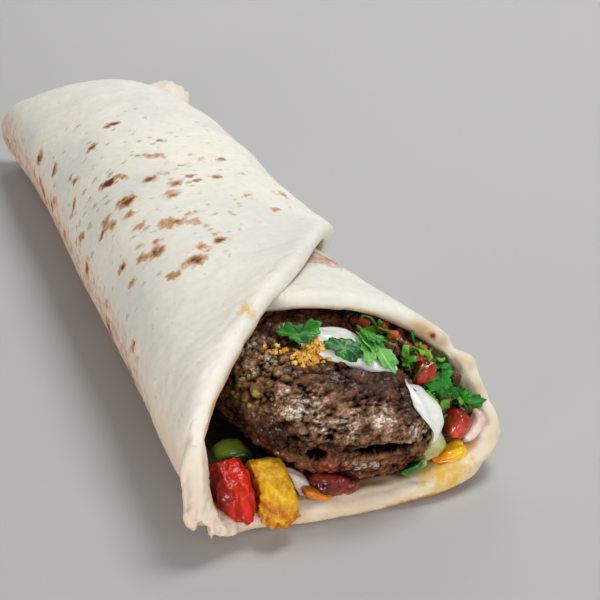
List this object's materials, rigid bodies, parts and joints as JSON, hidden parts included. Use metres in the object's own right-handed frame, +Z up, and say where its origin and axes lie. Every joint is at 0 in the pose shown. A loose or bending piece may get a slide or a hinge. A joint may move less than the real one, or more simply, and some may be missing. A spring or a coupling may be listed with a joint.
{
  "type": "kofta kebab wrap",
  "caption": "Thick flatbread rolled round a long grilled kofta with chopped salad, tomato, potato, peppers and yogurt, open at one end.",
  "frame": {"origin": "middle of the bounding box's underside", "axes": "+Y from the open mouth towards the closed end, +Z up, +X to the right as seen facing the mouth's filling from the front"},
  "size_m": [0.1072, 0.285, 0.056],
  "materials": {
    "bread": "soft baked dough, matt",
    "mince": "grilled, moist",
    "tomato": "wet",
    "potato": "fried",
    "roast": "wet",
    "onion": "wet",
    "orange": "wet",
    "chilli": "wet",
    "green": "wet",
    "yellow": "wet",
    "cucumber": "wet",
    "yogurt": "smooth, wet",
    "salad": "moist"
  },
  "bodies": {
    "root": {"flatbread": "bread", "kofta": "mince", "tomato_wedge": "tomato", "potato_wedge": "potato", "roasted_tomato": "roast", "onion_sliver": "onion", "orange_pepper_strip": "orange", "chilli_slice": "chilli", "green_pepper_piece": "green", "yellow_pepper_piece": "yellow", "onion_sliver_right": "onion", "tomato_dice_front": "tomato", "cucumber_piece": "cucumber", "tomato_dice_back": "tomato", "yogurt_side": "yogurt", "yogurt_top": "yogurt", "chopped_salad": "salad"}
  },
  "joints": []
}
